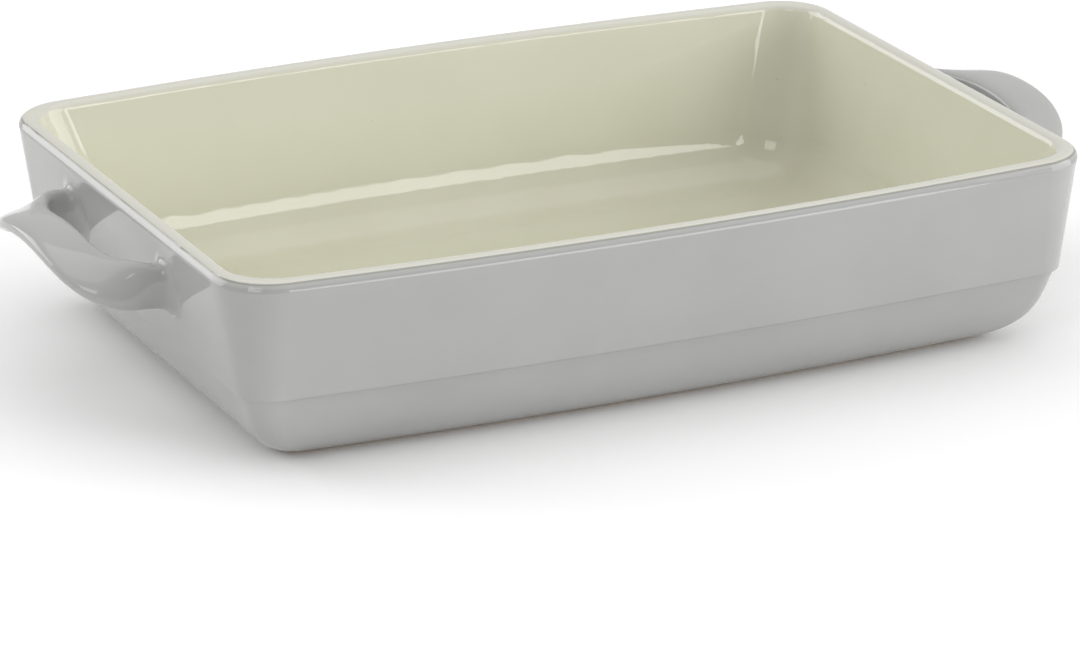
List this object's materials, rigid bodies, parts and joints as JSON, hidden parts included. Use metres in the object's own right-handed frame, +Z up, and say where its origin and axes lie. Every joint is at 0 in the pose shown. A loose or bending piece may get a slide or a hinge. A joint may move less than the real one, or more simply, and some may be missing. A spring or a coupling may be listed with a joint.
{
  "type": "lasagna dish",
  "caption": "Oblong stoneware oven dish with tapered walls, a rounded foot, a cream glazed inside, a grey glazed outside and a twisted strap handle on each short end.",
  "frame": {"origin": "on the table, under the middle of the dish", "axes": "+X along the dish from handle to handle, +Y across it, +Z up"},
  "size_m": [0.3976, 0.2328, 0.0722],
  "materials": {
    "stoneware_clay": "bare fired stoneware, matt and slightly rough",
    "cream_glaze": "glossy cream glaze, paler where it thins over the rim",
    "grey_glaze": "glossy light grey glaze",
    "base_grey_glaze": "glossy light grey glaze on the recessed base",
    "handle_grey_glaze": "glossy light grey glaze over the handle"
  },
  "bodies": {
    "root": {"dish_body": "stoneware_clay", "inside_glaze": "cream_glaze", "outside_glaze": "grey_glaze", "base_glaze": "base_grey_glaze", "left_handle": "handle_grey_glaze", "right_handle": "handle_grey_glaze"}
  },
  "joints": []
}
